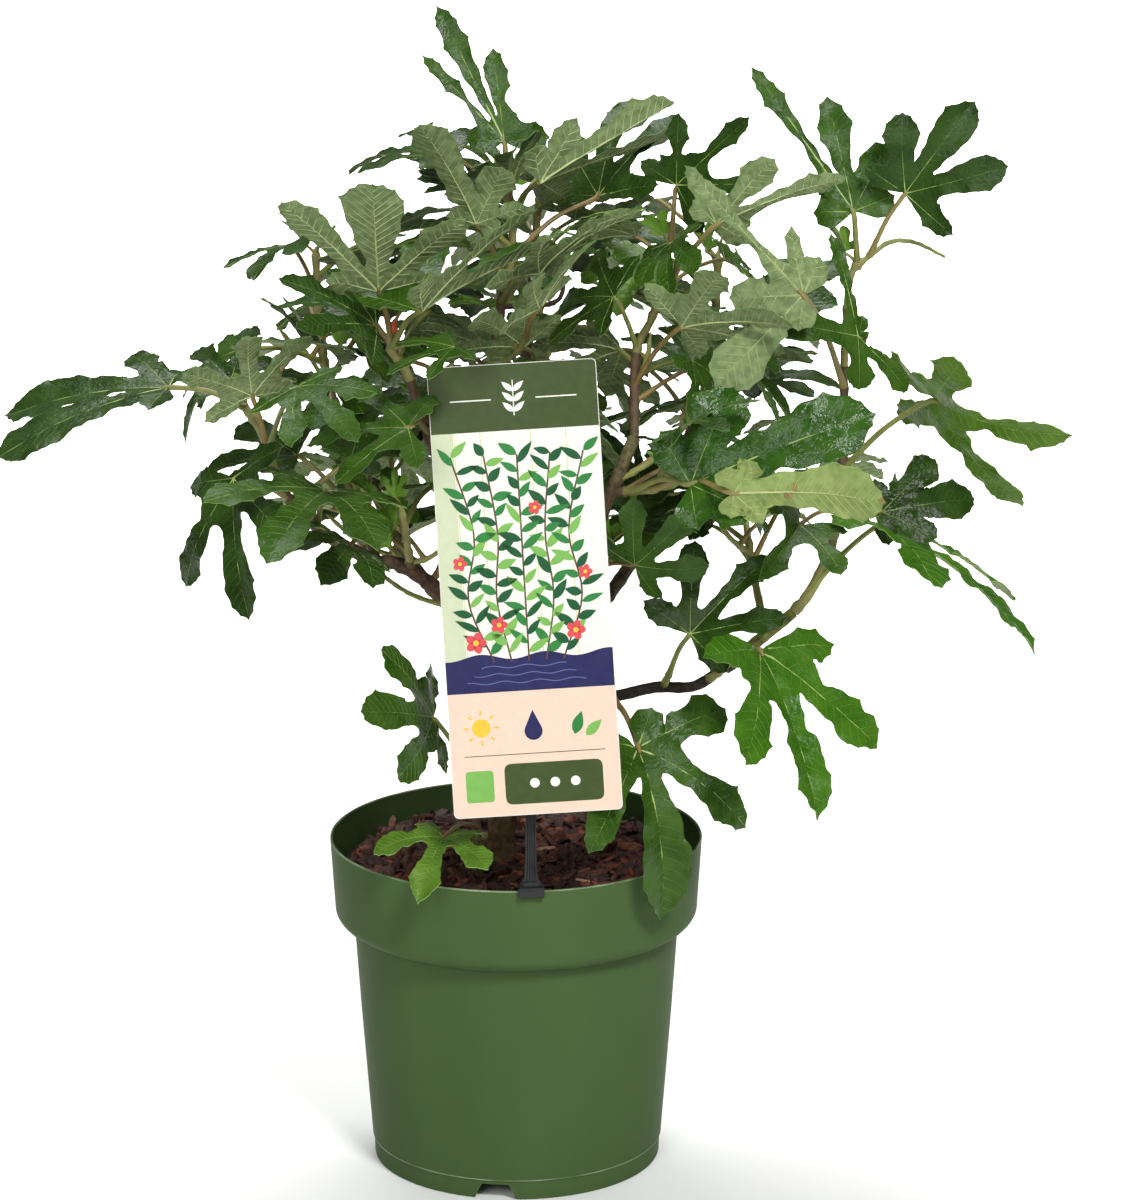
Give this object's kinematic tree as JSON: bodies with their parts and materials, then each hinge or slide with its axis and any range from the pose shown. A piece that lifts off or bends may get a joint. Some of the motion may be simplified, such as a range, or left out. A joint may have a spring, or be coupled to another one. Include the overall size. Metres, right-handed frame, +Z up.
{
  "type": "potted fig tree",
  "caption": "Young fig tree with lobed leaves in a tapered plastic nursery pot with a deep rim band, filled with bark mulch, and a clip-on plant label at the front.",
  "frame": {"origin": "centre of the pot's flat foot, on the surface the pot stands on", "axes": "+Z up, -Y towards the side that carries the label, +X to the right as seen from that side"},
  "size_m": [0.5707, 0.3864, 0.646],
  "materials": {
    "pot_plastic": "satin green, moulded",
    "mulch": "damp dark bark chips",
    "bark": "smooth brown bark with lenticels, yellow-green when young",
    "foliage": "leathery green leaves, pale and dull beneath",
    "label_card": "printed thin plastic card",
    "label_fittings": "black moulded plastic"
  },
  "bodies": {
    "root": {"pot": "pot_plastic", "potting_soil": "mulch", "trunk": "bark", "right_bough": "bark", "right_bough_upper": "bark", "left_bough": "bark", "centre_left_bough": "bark", "centre_right_bough": "bark", "back_left_bough": "bark", "back_right_bough": "bark", "centre_bough": "bark", "back_bough": "bark", "sucker": "bark", "left_foliage": "foliage", "left_inner_foliage": "foliage", "left_back_foliage": "foliage", "centre_left_foliage": "foliage", "centre_foliage": "foliage", "centre_right_foliage": "foliage", "front_right_foliage": "foliage", "low_right_foliage": "foliage", "right_foliage": "foliage", "right_back_foliage": "foliage", "right_front_spur_foliage": "foliage", "right_inner_spur_foliage": "foliage", "right_bend_spur_foliage": "foliage", "sucker_foliage": "foliage", "back_left_foliage": "foliage", "back_foliage": "foliage", "back_right_foliage": "foliage", "back_low_foliage": "foliage", "label_card": "label_card", "label_holder": "label_fittings", "label_clip": "label_fittings"}
  },
  "joints": []
}
